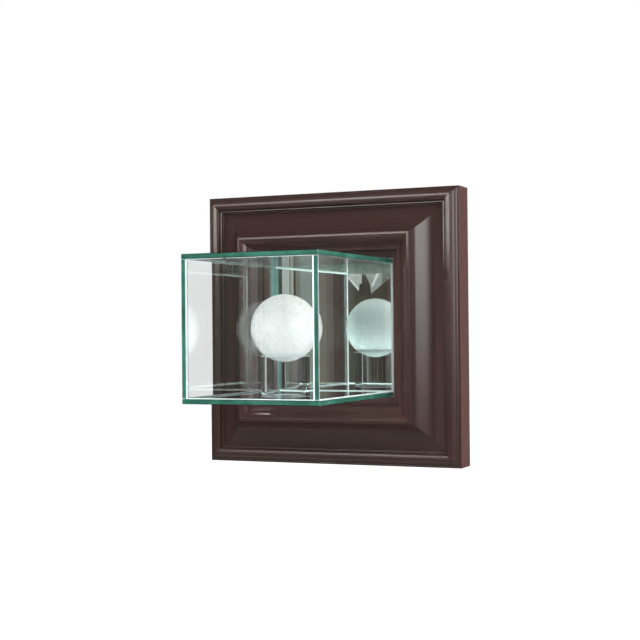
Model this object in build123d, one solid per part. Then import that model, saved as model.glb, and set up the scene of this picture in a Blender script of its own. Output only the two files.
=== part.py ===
from build123d import *
import math
import os

# Wall-hung display case for one golf ball: a mitred, moulded wood frame, a five-pane glass box that stands
# out of it, a mirrored door at the back, and a clear tube that carries the ball.
# Millimetres. X is to the right as the case is seen, Z is up, and Y runs into the wall. The origin is the
# middle of the frame's back, on the wall plane. A "height" is a distance in front of that plane, so Y = -height.

os.makedirs("parts", exist_ok=True)

# ---------------------------------------------------------------- driving dimensions: glass box
box_width = 91.4            # outside width and height
box_front = 140.0           # height of the box's front face
glass_t = 3.2
pane_arris = 0.35           # ground edge of each pane
bond_t = 0.3                # silicone between the box and the frame's sight opening

# ---------------------------------------------------------------- driving dimensions: door at the back
recess_depth = 8.8          # from the frame's back to the door's back
board_t = 3.2
mirror_t = 3.2
board_gap = 0.5             # running gap round the door in its rebate
mirror_overlap = 2.5        # how far the mirror reaches past the sight opening
mirror_arris = 0.4

# ---------------------------------------------------------------- driving dimensions: moulding
# Widths of its stretches, walked inwards from the outer edge.
quirk_width = 0.7
small_bead_width = 1.5
large_bead_width = 2.3
rim_rise_width = 0.5
rim_width = 3.9
rim_fall_width = 0.5
fillet_width = 1.0
fillet_fall_width = 0.4
cove_width = 18.0
nose_rise_width = 0.5
nose_width = 5.5
inner_cove_width = 4.4
sight_bead_width = 1.3
ledge_width = 5.5
# Height of the outer edge, then the rise or fall of each stretch.
side_height = 18.5
quirk_fall = 0.3
small_bead_rise = 1.0
large_bead_rise = 1.7
rim_rise = 2.2
rim_crown = 0.35            # how far the rim and the beads swell above their chords
rim_fall = 2.8
fillet_fall = 1.6
cove_rise = 14.5
cove_sag = 3.3              # depth of the cove below its chord
nose_rise = 0.6
nose_crown = 0.9
nose_fall = 2.9
inner_cove_fall = 4.6
inner_cove_sag = 0.7
sight_bead_rise = 0.5
lip_t = 4.1                 # wood between the rebate's shoulder and the ledge

# ---------------------------------------------------------------- driving dimensions: small hardware
corner_nail_t = 0.7         # V-shaped nails across each mitre
corner_nail_leg = 5.5
corner_nail_depth = 8.0
corner_nail_insets = (10.0, 24.0)

hole_fit = 0.05             # clearance of a screw, nail or magnet in its hole
pin_fit = 0.05              # running clearance of the hinge pin

hinge_z = 32.0              # height of each hinge above and below the middle
hinge_length = 16.2
knuckle_r = 1.8
knuckle_gap = 0.2           # between neighbouring knuckles
hinge_gap = 0.3             # between the knuckles and what they turn past
hinge_pin_r = 0.8
pin_head_r = 1.3
pin_head_t = 0.6
leaf_t = 0.8
door_leaf_width = 9.5
leaf_setback = 1.2          # frame leaf, in from the frame's back
hinge_screw_r = 0.8
hinge_screw_head_r = 1.6
hinge_screw_spread = 5.0    # screws above and below the hinge's middle
frame_screw_length = 7.0
door_screw_length = 3.0

magnet_r = 2.5
magnet_margin = 1.25        # clear of the mirror's edge and of the rebate's wall
magnet_sunk = 2.4
disc_sunk = 0.8
magnet_share = 0.5          # of the space between shoulder and board, filled by the magnet
magnet_z = 36.0

knob_r = 4.2
knob_neck_r = 2.3
knob_foot_r = 3.1
knob_neck = 2.6
knob_head = 3.8
knob_crown = 1.5            # rise of the knob's domed face
knob_inset = 12.0           # from the door's free edge
knob_stud_r = 1.2
knob_stud_length = 2.4

hanger_length = 44.0
hanger_width = 9.0
hanger_t = 0.8
hanger_pad = 8.0            # flat end that is nailed down
hanger_offset = 1.0         # how far the toothed middle stands off the wood
hanger_ramp = 2.0
hanger_drop = 13.0          # from the frame's top edge to the strip's middle
tooth_pitch = 2.4
tooth_depth = 1.5
tooth_count = 9
hanger_nail_r = 0.7
hanger_nail_head_r = 1.7
hanger_nail_head_t = 0.6
hanger_nail_length = 9.0

bumper_r = 4.5
bumper_t = 2.4
bumper_chamfer = 0.6
bumper_side_inset = 30.0
bumper_bottom_inset = 11.0

# ---------------------------------------------------------------- driving dimensions: ball and stand
ball_r = 21.335
ball_height = 88.8          # the ball's centre, in front of the frame's back
stand_inner_r = 12.7
stand_wall = 2.8
stand_height = 25.4
stand_arris = 0.4
seat_gap = 0.1              # the ball above the stand's inner rim

# ---------------------------------------------------------------- derived places
box_half = box_width / 2
sight_half = box_half + bond_t
rebate_depth = recess_depth + board_t + mirror_t
ledge_height = rebate_depth + lip_t
shoulder_width = mirror_overlap + 2 * (magnet_r + magnet_margin)
rebate_half = sight_half + shoulder_width
mirror_half = sight_half + mirror_overlap
board_half = rebate_half - board_gap
board_back = recess_depth
board_front = recess_depth + board_t

moulding_widths = (
    quirk_width, small_bead_width, large_bead_width, rim_rise_width, rim_width, rim_fall_width, fillet_width,
    fillet_fall_width, cove_width, nose_rise_width, nose_width, inner_cove_width, sight_bead_width, ledge_width,
)
frame_half = sight_half + sum(moulding_widths)

hinge_x = rebate_half - knuckle_r - hinge_gap
hinge_height = board_back - knuckle_r - hinge_gap
knuckle_length = (hinge_length - 2 * knuckle_gap) / 3
magnet_x = -(mirror_half + magnet_margin + magnet_r)
magnet_face = board_front + (rebate_depth - board_front) * (1 - magnet_share)

floor_z = -box_half + glass_t
rim_z = floor_z + stand_height
ball_z = rim_z + math.sqrt((ball_r + seat_gap) ** 2 - stand_inner_r ** 2)


# ---------------------------------------------------------------- building blocks
def block(x0, x1, h0, h1, z0, z1):
    """A box between two X, two heights in front of the wall plane and two Z."""
    return Pos((x0 + x1) / 2, -(h0 + h1) / 2, (z0 + z1) / 2) * Box(x1 - x0, h1 - h0, z1 - z0)


def rod_y(x, z, h0, h1, r):
    """A round bar square to the wall."""
    return Pos(x, -(h0 + h1) / 2, z) * Rot(90, 0, 0) * Cylinder(r, h1 - h0)


def rod_x(h, z, x0, x1, r):
    return Pos((x0 + x1) / 2, -h, z) * Rot(0, 90, 0) * Cylinder(r, x1 - x0)


def rod_z(x, h, z0, z1, r):
    return Pos(x, -h, (z0 + z1) / 2) * Cylinder(r, z1 - z0)


def turned(shape, quarters):
    """The shape turned about the line through the origin square to the wall."""
    return Rot(0, 90 * quarters, 0) * shape


def bowed(start, end, swell):
    """An arc from start to end whose middle stands off the chord by swell, to its left."""
    length = math.dist(start, end)
    normal = (-(end[1] - start[1]) / length, (end[0] - start[0]) / length)
    middle = ((start[0] + end[0]) / 2 + normal[0] * swell, (start[1] + end[1]) / 2 + normal[1] * swell)
    return ThreePointArc(start, middle, end)


# ---------------------------------------------------------------- frame
def moulding_face():
    """Section of the moulding: first coordinate inwards from the outer edge, second the height."""
    rises = (
        -quirk_fall, small_bead_rise, large_bead_rise, rim_rise, 0.0, -rim_fall, 0.0,
        -fillet_fall, cove_rise, nose_rise, -nose_fall, -inner_cove_fall, sight_bead_rise,
    )
    swells = (
        0.0, rim_crown, rim_crown, 0.0, rim_crown, 0.0, 0.0,
        0.0, -cove_sag, 0.0, nose_crown, -inner_cove_sag, 0.0,
    )
    at = (0.0, side_height)
    edges = [Line((0.0, 0.0), at)]
    for width, rise, swell in zip(moulding_widths, rises, swells):
        to = (at[0] + width, at[1] + rise)
        edges.append(bowed(at, to, swell) if swell else Line(at, to))
        at = to
    inner = sum(moulding_widths)
    rebate_at = inner - shoulder_width
    corners = [
        at, (at[0], ledge_height), (inner, ledge_height), (inner, rebate_depth),
        (rebate_at, rebate_depth), (rebate_at, 0.0), (0.0, 0.0),
    ]
    edges += [Line(a, b) for a, b in zip(corners, corners[1:])]
    return make_face(Wire(edges))


def plain_rail():
    """The bottom rail, cut to its mitres."""
    side = Plane(origin=(-frame_half, 0, -frame_half), x_dir=(0, 0, 1), z_dir=(1, 0, 0))
    bar = extrude(side * moulding_face(), amount=2 * frame_half, dir=(1, 0, 0))
    outline = [
        (-frame_half, -frame_half), (frame_half, -frame_half), (sight_half, -sight_half), (-sight_half, -sight_half),
    ]
    front = side_height + cove_rise + nose_rise + nose_crown + rim_rise + large_bead_rise + small_bead_rise
    mitre = extrude(Plane.XZ * make_face(Polyline(*outline, close=True)), amount=front)
    return bar & mitre


def corner_nail(inset):
    """A V-shaped nail across the lower right mitre, driven in from the back."""
    corner = frame_half - inset
    along = block(corner - corner_nail_leg, corner, 0, corner_nail_depth,
                  -corner, -corner + corner_nail_t)
    up = block(corner - corner_nail_t, corner, 0, corner_nail_depth,
               -corner, -corner + corner_nail_leg)
    return along + up


def corner_nails():
    return [turned(corner_nail(inset), k) for k in range(4) for inset in corner_nail_insets]


# ---------------------------------------------------------------- glass box
def pane(x0, x1, h0, h1, z0, z1, arris):
    sheet = block(x0, x1, h0, h1, z0, z1)
    return chamfer(sheet.edges(), arris)


def glass_panes():
    """Top and bottom run the full width and depth, the sides stand between them and the front between all four."""
    back = rebate_depth
    inside = box_half - glass_t
    return {
        "top_pane": pane(-box_half, box_half, back, box_front, inside, box_half, pane_arris),
        "bottom_pane": pane(-box_half, box_half, back, box_front, -box_half, -inside, pane_arris),
        "left_pane": pane(-box_half, -inside, back, box_front, -inside, inside, pane_arris),
        "right_pane": pane(inside, box_half, back, box_front, -inside, inside, pane_arris),
        "front_pane": pane(-inside, inside, box_front - glass_t, box_front, -inside, inside, pane_arris),
    }


def sight_bond():
    """The silicone sleeve that holds the box in the sight opening."""
    outer = block(-sight_half, sight_half, rebate_depth, ledge_height, -sight_half, sight_half)
    inner = block(-box_half, box_half, rebate_depth, ledge_height, -box_half, box_half)
    return outer - inner


# ---------------------------------------------------------------- hinges
def knuckles(z, places):
    """Knuckles of one leaf; place 0 is the lowest of the three."""
    low = z - hinge_length / 2
    step = knuckle_length + knuckle_gap
    return [rod_z(hinge_x, hinge_height, low + k * step, low + k * step + knuckle_length, knuckle_r) for k in places]


def screw_heights(z):
    return (z - hinge_screw_spread, z + hinge_screw_spread)


def countersink(fit):
    """A countersunk screw head as deep as a leaf, its flat face at the origin and its shank towards -Z."""
    return Pos(0, 0, -leaf_t / 2) * Cone(hinge_screw_r + fit, hinge_screw_head_r + fit, leaf_t)


def frame_screw_height():
    return (leaf_setback + hinge_height - knuckle_r) / 2


def frame_screw(z, fit=0.0):
    height = frame_screw_height()
    head = Pos(rebate_half - leaf_t, -height, z) * Rot(0, -90, 0) * countersink(fit)
    return head + rod_x(height, z, rebate_half, rebate_half - leaf_t + frame_screw_length, hinge_screw_r + fit)


def door_screw(z, fit=0.0):
    x = hinge_x - (knuckle_r + door_leaf_width) / 2
    head = Pos(x, -(board_back - leaf_t), z) * Rot(-90, 0, 0) * countersink(fit)
    return head + rod_y(x, z, board_back, board_back - leaf_t + door_screw_length, hinge_screw_r + fit)


def hinge_pin(z):
    low = z - hinge_length / 2
    high = z + hinge_length / 2
    body = rod_z(hinge_x, hinge_height, low, high, hinge_pin_r)
    caps = rod_z(hinge_x, hinge_height, high, high + pin_head_t, pin_head_r)
    caps += rod_z(hinge_x, hinge_height, low - pin_head_t, low, pin_head_r)
    return body + caps


def pin_bore(z):
    return rod_z(hinge_x, hinge_height, z - hinge_length, z + hinge_length, hinge_pin_r + pin_fit)


def knuckle_space(z, places):
    """Room for the other leaf's knuckles."""
    low = z - hinge_length / 2
    step = knuckle_length + knuckle_gap
    reach = knuckle_r + hinge_gap
    return [
        rod_z(hinge_x, hinge_height, low + k * step - knuckle_gap, low + (k + 1) * step, reach) for k in places
    ]


def frame_leaf(z):
    """Leaf on the rebate's wall, with the two outer knuckles."""
    low = z - hinge_length / 2
    leaf = block(rebate_half - leaf_t, rebate_half, leaf_setback, hinge_height, low, low + hinge_length)
    for space in knuckle_space(z, (1,)):
        leaf -= space
    for knuckle in knuckles(z, (0, 2)):
        leaf += knuckle
    for height in screw_heights(z):
        leaf -= frame_screw(height, hole_fit)
    return leaf - pin_bore(z)


def door_leaf(z):
    """Leaf on the door's back, with the middle knuckle."""
    low = z - hinge_length / 2
    leaf = block(hinge_x - door_leaf_width, hinge_x, board_back - leaf_t, board_back, low, low + hinge_length)
    for space in knuckle_space(z, (0, 2)):
        leaf -= space
    for knuckle in knuckles(z, (1,)):
        leaf += knuckle
    for height in screw_heights(z):
        leaf -= door_screw(height, hole_fit)
    return leaf - pin_bore(z)


# ---------------------------------------------------------------- catch, knob, hanger, bumpers
def magnet(z, fit=0.0):
    return rod_y(magnet_x, z, magnet_face, rebate_depth + magnet_sunk, magnet_r + fit)


def catch_disc(z, fit=0.0):
    return rod_y(magnet_x, z, board_front - disc_sunk, magnet_face, magnet_r + fit)


def knob_x():
    return -(board_half - knob_inset)


def knob_hole():
    return rod_y(knob_x(), 0, board_back, board_back + knob_stud_length, knob_stud_r + hole_fit)


def dome(r, low, top):
    """An arc from (r, low) up to the axis, level where it meets the axis."""
    rise = top - low
    curve = (r ** 2 + rise ** 2) / (2 * rise)
    half_turn = math.asin(r / curve) / 2
    return ThreePointArc((r, low), (curve * math.sin(half_turn), top - curve * (1 - math.cos(half_turn))), (0, top))


def door_knob():
    """A turned pull that stays inside the recess, with its stud in the board."""
    top = knob_neck + knob_head
    shoulder = top - knob_crown
    side = Polyline(
        (0, top), (0, -knob_stud_length), (knob_stud_r, -knob_stud_length), (knob_stud_r, 0), (knob_foot_r, 0),
        (knob_neck_r, knob_neck / 2), (knob_neck_r, knob_neck), (knob_r, shoulder),
    )
    face = make_face(Wire(side.edges() + [dome(knob_r, shoulder, top)]))
    return Pos(knob_x(), -board_back, 0) * Rot(-90, 0, 0) * revolve(Plane.XZ * face, Axis.Z)


def hanger_z():
    return frame_half - hanger_drop


def hanger_nail_x():
    return (hanger_length - hanger_pad) / 2


def hanger_nail(side, fit=0.0):
    x = side * hanger_nail_x()
    shank = rod_y(x, hanger_z(), -hanger_t, hanger_nail_length - hanger_t, hanger_nail_r + fit)
    return shank + rod_y(x, hanger_z(), -hanger_t - hanger_nail_head_t, -hanger_t, hanger_nail_head_r)


def hanger_strip():
    """A toothed strip whose ends lie on the wood and whose middle stands off it."""
    half = hanger_length / 2
    pad = half - hanger_pad
    top = pad - hanger_ramp
    t, off = hanger_t, hanger_offset
    outline = [
        (-half, 0), (-pad, 0), (-top, off), (top, off), (pad, 0), (half, 0),
        (half, t), (pad, t), (top, off + t), (-top, off + t), (-pad, t), (-half, t),
    ]
    strip = extrude(make_face(Polyline(*outline, close=True)), amount=hanger_width / 2, both=True)
    strip = Pos(0, 0, hanger_z()) * strip
    low = hanger_z() - hanger_width / 2
    for k in range(tooth_count):
        x = (k - (tooth_count - 1) / 2) * tooth_pitch
        notch = [(x - tooth_pitch / 2, low), (x + tooth_pitch / 2, low), (x, low + tooth_depth)]
        strip -= extrude(Plane.XZ * make_face(Polyline(*notch, close=True)), amount=off + 2 * t, both=True)
    for side in (-1, 1):
        strip -= rod_y(side * hanger_nail_x(), hanger_z(), -2 * t, t, hanger_nail_r + hole_fit)
    return strip


def bumper(side):
    pad = rod_y(side * (frame_half - bumper_side_inset), -(frame_half - bumper_bottom_inset), -bumper_t, 0, bumper_r)
    return chamfer(pad.edges().group_by(Axis.Y)[-1], bumper_chamfer)


# ---------------------------------------------------------------- ball and stand
def ball_stand():
    outer = stand_inner_r + stand_wall
    tube = Pos(0, -ball_height, (floor_z + rim_z) / 2) * Cylinder(outer, stand_height)
    tube = chamfer(tube.edges().filter_by(GeomType.CIRCLE), stand_arris)
    return tube - Pos(0, -ball_height, (floor_z + rim_z) / 2) * Cylinder(stand_inner_r, stand_height)


def golf_ball():
    return Pos(0, -ball_height, ball_z) * Sphere(ball_r)


# ---------------------------------------------------------------- assembly
hinges = (-hinge_z, hinge_z)
magnets = (-magnet_z, magnet_z)
nails = corner_nails()

rails = {}
for name, quarters in (("bottom_rail", 0), ("left_rail", 1), ("top_rail", 2), ("right_rail", 3)):
    rail = turned(plain_rail(), quarters)
    for nail in nails:
        rail -= nail
    rails[name] = rail
for z in hinges:
    for height in screw_heights(z):
        rails["right_rail"] -= frame_screw(height, hole_fit)
for z in magnets:
    rails["left_rail"] -= magnet(z, hole_fit)
for side in (-1, 1):
    rails["top_rail"] -= hanger_nail(side, hole_fit)

board = block(-board_half, board_half, board_back, board_front, -board_half, board_half)
for z in hinges:
    for height in screw_heights(z):
        board -= door_screw(height, hole_fit)
for z in magnets:
    board -= catch_disc(z, hole_fit)
board -= knob_hole()

nodes = dict(rails)
nodes["corner_nails"] = Compound(nails)
nodes.update(glass_panes())
nodes["sight_bond"] = sight_bond()
nodes["mirror_pane"] = pane(-mirror_half, mirror_half, board_front, rebate_depth, -mirror_half, mirror_half,
                            mirror_arris)
nodes["backing_board"] = board
nodes["hinge_frame_leaves"] = Compound([frame_leaf(z) for z in hinges])
nodes["hinge_door_leaves"] = Compound([door_leaf(z) for z in hinges])
nodes["hinge_pins"] = Compound([hinge_pin(z) for z in hinges])
nodes["frame_leaf_screws"] = Compound([frame_screw(height) for z in hinges for height in screw_heights(z)])
nodes["door_leaf_screws"] = Compound([door_screw(height) for z in hinges for height in screw_heights(z)])
nodes["catch_magnets"] = Compound([magnet(z) for z in magnets])
nodes["catch_discs"] = Compound([catch_disc(z) for z in magnets])
nodes["door_knob"] = door_knob()
nodes["hanger_strip"] = hanger_strip()
nodes["hanger_nails"] = Compound([hanger_nail(side) for side in (-1, 1)])
nodes["wall_bumpers"] = Compound([bumper(side) for side in (-1, 1)])
nodes["ball_stand"] = ball_stand()
nodes["golf_ball"] = golf_ball()

for name, shape in nodes.items():
    export_step(shape, f"parts/{name}.step")

print("frame", round(2 * frame_half, 3), "moulding", round(sum(moulding_widths), 3))
print("rebate half", round(rebate_half, 3), "rebate depth", round(rebate_depth, 3), "ledge", round(ledge_height, 3))
print("hinge axis x", round(hinge_x, 3), "height", round(hinge_height, 3), "ball z", round(ball_z, 3))
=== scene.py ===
import math

import bpy
import numpy as np
from bpy.props import FloatProperty, FloatVectorProperty, IntProperty, PointerProperty
from mathutils import Matrix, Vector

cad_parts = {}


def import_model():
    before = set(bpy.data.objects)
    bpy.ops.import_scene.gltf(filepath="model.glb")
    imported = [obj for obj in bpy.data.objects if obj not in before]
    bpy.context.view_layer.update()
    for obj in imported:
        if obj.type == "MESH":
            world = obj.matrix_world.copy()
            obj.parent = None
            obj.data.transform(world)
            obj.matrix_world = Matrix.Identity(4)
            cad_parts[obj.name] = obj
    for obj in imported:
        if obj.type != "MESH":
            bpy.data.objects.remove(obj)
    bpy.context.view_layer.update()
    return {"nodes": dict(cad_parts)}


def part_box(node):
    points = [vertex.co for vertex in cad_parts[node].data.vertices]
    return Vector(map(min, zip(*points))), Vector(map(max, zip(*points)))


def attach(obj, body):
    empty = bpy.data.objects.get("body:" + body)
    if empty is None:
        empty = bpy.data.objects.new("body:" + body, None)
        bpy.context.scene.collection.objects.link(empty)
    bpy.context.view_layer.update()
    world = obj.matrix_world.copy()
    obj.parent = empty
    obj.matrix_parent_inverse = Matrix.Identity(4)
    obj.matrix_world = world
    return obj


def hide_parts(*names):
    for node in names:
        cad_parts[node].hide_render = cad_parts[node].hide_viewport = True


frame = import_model()

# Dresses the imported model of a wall-hung display case for one golf ball: lacquered moulding, a glass box with
# green polished edges, a mirrored door, small brass and steel fittings, a clear tube and a dimpled ball.
# Metres, in the model's frame: X right, Y into the wall, Z up. Patterns are laid out in millimetres.

bl_info = {
    "name": "Golf ball display case",
    "version": (1, 0, 0),
    "blender": (4, 5, 0),
    "location": "3D View > Sidebar > Display case",
    "description": "Mouldings, glass edges, silvering, ball and studio for a wall-hung golf ball display case",
    "category": "Object",
}

MM = 0.001

# ---------------------------------------------------------------- places read from the model
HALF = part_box("top_rail")[1].x                  # half the frame
PANE_LOW, PANE_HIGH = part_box("top_pane")
MIRROR_LOW, MIRROR_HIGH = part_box("mirror_pane")
BALL_LOW, BALL_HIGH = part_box("golf_ball")
STAND_LOW, STAND_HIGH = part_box("ball_stand")
REBATE_DEPTH = -MIRROR_LOW.y
OUTER, BACK = PANE_HIGH.x / MM, PANE_HIGH.y / MM     # the glass box, in millimetres
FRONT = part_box("front_pane")[0].y / MM
GLASS_MM = (PANE_HIGH.z - PANE_LOW.z) / MM
INNER = OUTER - GLASS_MM


def middle_of(low, high):
    return np.array([(a + b) / 2 for a, b in zip(low, high)])


# ---------------------------------------------------------------- moulding section, millimetres
# Width inwards, rise, and swell above the chord of each stretch, from the front outer arris to the sight edge.
STRETCHES = (
    (1.2, -0.3, 0.0), (1.0, 1.3, -0.2), (0.5, 0.15, 0.0), (0.95, 1.2, -0.2), (0.3, 0.05, 0.0), (0.4, 2.2, 0.0),
    (3.35, -0.1, 0.08), (1.35, -0.55, 0.15), (0.4, -2.15, 0.0), (1.2, 0.0, 0.0), (0.35, -1.6, 0.0),
    (18.2, 15.1, -3.4), (1.9, 0.06, 0.015), (4.0, -3.2, 0.35), (4.1, -4.36, -0.7), (1.3, 0.5, 0.0),
)
# How strongly a stretch of it is paled by wear with a painted highlight (crests), darkened by stain with painted shade
# (quirks) or paled by painted light (slope), as (inset, share) stops up to MASK_REACH.
CRESTS = ((4.6, 0), (5.0, 1), (5.4, 0), (8.5, 0), (8.9, 0.7), (9.2, 0), (28.9, 0), (29.4, 0.6), (30.4, 0),
          (39.9, 0), (40.4, 0.8), (40.6, 0))
QUIRKS = ((0.9, 0), (1.3, 0.7), (1.6, 0), (4.1, 0), (4.5, 0.6), (4.8, 0), (9.3, 0), (9.5, 0.9), (9.8, 0),
          (10.8, 0), (10.9, 0.4), (11.6, 0), (37.5, 0), (39.1, 0.5), (39.6, 0), (40.6, 0), (41.0, 0.8), (41.8, 0))
SLOPE_PAINTED_LIGHT = ((30.9, 0), (31.6, 0.5), (40.0, 0.5), (40.6, 0.1), (41.6, 1), (49.0, 1))
MASK_REACH = 50.0
SIDE_HEIGHT = 18.5
LEDGE_HEIGHT = 19.3
SIGHT_INSET = 46.0
REBATE_INSET = 36.0
BACK_STEP = 0.03                # the back stands in by this, so that nails flush with it show
SECTION_STEP = 0.1              # between points of the section
RAIL_STATIONS = 25              # cuts along a rail
CREASE = 38                     # degrees past which an edge of the rails stays sharp

# ---------------------------------------------------------------- sheets in the glass, millimetres
SKIN = (0.12, 0.18)             # a green sheet's depth under the face of a pane
EDGE_IN = 0.42                  # and how far it stays in from the arrises
JOINT = (0.04, 0.10)            # a sheet in a joint, from the inner face of the pane that it's in
CLEAR = 0.3                     # and how far it stays in from the joint's ends
GLOW = (5.4, 0.15)              # the deep green, in from the back of a pane
LINE = (0.19, 0.46)             # the width of an arris, in from the front face
BEAD = (0.75, 0.04)             # a corner bead, in from the faces of two panes
RIM_WIDTH = 2.3                 # a polished rim of the tube
RIM_STEPS = 96                  # steps round it
CARD_STEPS = 17                 # points along a card of the studio
TIPS_APART = 1.0515             # the edge of an icosahedron whose tips are 1 from its middle


# ---------------------------------------------------------------- settings shown in the panel
def colour(name, description, default):
    return FloatVectorProperty(name=name, description=description, subtype="COLOR", size=3, min=0, max=1,
                               default=default)


def share(name, description, default):
    return FloatProperty(name=name, description=description, subtype="FACTOR", min=0, max=1, default=default)


def length(name, description, default):
    return FloatProperty(name=name, description=description, subtype="DISTANCE", unit="LENGTH", min=0,
                         default=default)


class CaseWood(bpy.types.PropertyGroup):
    dark: colour("Dark grain", "Darker colour of the stained wood", (0.0395, 0.0203, 0.0179))
    light: colour("Light grain", "Lighter colour of the stained wood", (0.0527, 0.0275, 0.0244))
    bare: colour("Bare wood", "Unstained wood on the back", (0.42, 0.27, 0.15))
    board: colour("Board", "Hardboard on the door's back", (0.17, 0.085, 0.042))
    gloss: share("Roughness", "Roughness of the lacquer", 0.20)
    arris: length("Arris softness", "How far each edge of the moulding is rounded over", 0.00020)
    mitre_gap: length("Mitre gap", "Half the hairline gap at each mitre", 0.000002)


class CaseGlass(bpy.types.PropertyGroup):
    tint: colour("Pane tint", "Tint of the clear panes", (0.978, 0.993, 0.988))
    edge: colour("Edge green", "Colour seen in a polished edge", (0.036, 0.165, 0.118))
    deep: colour("Back green", "Colour of the panes' back edges, seen through the glass", (0.23, 0.46, 0.42))
    joint: colour("Joint", "Colour of ground arrises and bonded joints", (0.84, 0.92, 0.92))
    silver: colour("Silvering", "Colour of the mirror's silvering", (0.80, 0.86, 0.84))
    acrylic: colour("Acrylic", "Tint of the clear tube", (0.96, 0.975, 0.97))


class CaseMetal(bpy.types.PropertyGroup):
    brass: colour("Brass", "Lacquered brass", (0.78, 0.56, 0.26))
    zinc: colour("Zinc", "Zinc-plated steel", (0.60, 0.61, 0.62))
    nickel: colour("Nickel", "Nickel plate", (0.70, 0.68, 0.64))


class CaseBall(bpy.types.PropertyGroup):
    cover: colour("Cover", "White of the ball's cover", (0.90, 0.90, 0.89))
    rows: IntProperty(name="Dimple rows", description="Rows of dimples between two corners of the icosahedron",
                      min=2, max=8, default=6)
    fineness: IntProperty(name="Fineness", description="Mesh steps along an icosahedron's edge", min=10, max=90,
                          default=80)
    spread: share("Dimple width", "Dimple radius as a share of the distance to its neighbour", 0.45)
    depth: length("Dimple depth", "Depth of a dimple", 0.00020)


class CaseStudio(bpy.types.PropertyGroup):
    floor: length("Floor drop", "How far the floor is below the case's middle", 0.42)
    ambient: FloatProperty(name="Ambient", description="Strength of the even studio light", min=0, default=0.72)
    lens: FloatProperty(name="Lens", description="Focal length on a 36 mm sensor", subtype="DISTANCE_CAMERA",
                        min=10, default=75.52)
    room: share("Room level", "Brightness of the unlit studio that gloss and mirror show", 0.05)


SETTINGS = (("case_wood", CaseWood), ("case_glass", CaseGlass), ("case_metal", CaseMetal),
            ("case_ball", CaseBall), ("case_studio", CaseStudio))


# ---------------------------------------------------------------- mesh building
def linked_object(name, data):
    made = bpy.data.objects.new(name, data)
    bpy.context.scene.collection.objects.link(made)
    return made


def mesh_object(name, points, faces, smooth=False, crease=None):
    """A mesh object at the origin from an (n, 3) array and faces. Past the angle crease an edge stays sharp."""
    mesh = bpy.data.meshes.new(name)
    mesh.from_pydata(points, [], faces)
    mesh.polygons.foreach_set("use_smooth", [smooth] * len(mesh.polygons))
    if crease is not None:
        mesh.set_sharp_from_angle(angle=math.radians(crease))
    mesh.validate()
    mesh.update()
    return linked_object(name, mesh)


def bars(lows, highs):
    """Points and outward faces of many axis-aligned bars: the eight corners of each are low + (high - low) * unit
    corner, for every unit corner of a cube."""
    unit = np.array([(x, y, z) for x in (0, 1) for y in (0, 1) for z in (0, 1)], float)
    lows, highs = np.array(lows, float), np.array(highs, float)
    points = lows[:, None, :] + (highs - lows)[:, None, :] * unit
    sides = np.array([(0, 1, 3, 2), (4, 6, 7, 5), (0, 4, 5, 1), (2, 3, 7, 6), (0, 2, 6, 4), (1, 5, 7, 3)])
    faces = sides[None] + 8 * np.arange(len(lows))[:, None, None]
    return points.reshape(-1, 3), faces.reshape(-1, 4).tolist()


def grid_faces(rows, columns, rings=(False, False), turned=False):
    """Quads of a grid of points numbered row by row. Rings tells whether the last row joins the first, and the last
    column the first; turned gives the quads their other side."""
    index = np.arange(rows * columns).reshape(rows, columns)
    under, after = np.roll(index, -1, axis=0), np.roll(index, -1, axis=1)
    corners = [index, under, np.roll(under, -1, axis=1), after]
    if turned:
        corners = [index, *corners[:0:-1]]
    quads = np.stack(corners, axis=-1)[:rows - (not rings[0]), :columns - (not rings[1])]
    return quads.reshape(-1, 4).tolist()


def arc(start, end, swell, step):
    """Points from start up to, but not at, end, on the arc whose middle stands off the chord by swell to its left:
    middle + chord direction * r sin(a) + left * (r cos(a) - r + swell), a from minus to plus the half angle."""
    start, end = np.array(start, float), np.array(end, float)
    chord = np.hypot(*(end - start))
    along = (end - start) / chord
    count = max(int(chord / step), 2)
    if not swell:
        return start + (end - start) * np.linspace(0, 1, count, endpoint=False)[:, None]
    left = np.array((-along[1], along[0])) * np.sign(swell)
    radius = (chord ** 2 / 4 + swell ** 2) / (2 * abs(swell))
    reach = 2 * math.atan(2 * abs(swell) / chord)
    turn = np.linspace(-reach, reach, count, endpoint=False)[:, None]
    centre = (start + end) / 2 + left * (abs(swell) - radius)
    return centre + along * radius * np.sin(turn) + left * radius * np.cos(turn)


def moulding_section(softness, step=SECTION_STEP):
    """Closed outline of the moulding in millimetres, as (inwards, height): the stretches as chords and arcs, spaced
    evenly by length, then each point averaged with its neighbours under a bell of width softness, which rounds
    every arris."""
    at = (0.0, SIDE_HEIGHT)
    runs = []
    for width, rise, swell in STRETCHES:
        to = (at[0] + width, at[1] + rise)
        runs.append(arc(at, to, swell, step))
        at = to
    corners = [at, (at[0], LEDGE_HEIGHT + 0.3), (SIGHT_INSET, LEDGE_HEIGHT), (SIGHT_INSET, REBATE_DEPTH / MM),
               (REBATE_INSET, REBATE_DEPTH / MM), (REBATE_INSET, BACK_STEP), (0.0, BACK_STEP), (0.0, SIDE_HEIGHT)]
    runs += [arc(a, b, 0, step) for a, b in zip(corners, corners[1:]) if a != b]
    loop = np.concatenate(runs)
    closed = np.vstack([loop, loop[:1]])
    reach = np.concatenate([[0], np.cumsum(np.hypot(*np.diff(closed, axis=0).T))])
    even = np.linspace(0, reach[-1], int(reach[-1] / step), endpoint=False)
    loop = np.stack([np.interp(even, reach, closed[:, k]) for k in (0, 1)], axis=1)
    spread = np.arange(-12, 13)
    bell = np.exp(-0.5 * (spread * step / max(softness / MM, 1e-6)) ** 2)
    bell /= bell.sum()
    return sum(weight * np.roll(loop, shift, axis=0) for weight, shift in zip(bell, spread))


def quarter_turned(points, quarters):
    """Points turned about the Y axis: each quarter takes (x, z) to (z, -x)."""
    for _ in range(quarters):
        points = np.stack([points[..., 2], points[..., 1], -points[..., 0]], axis=-1)
    return points


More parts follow.
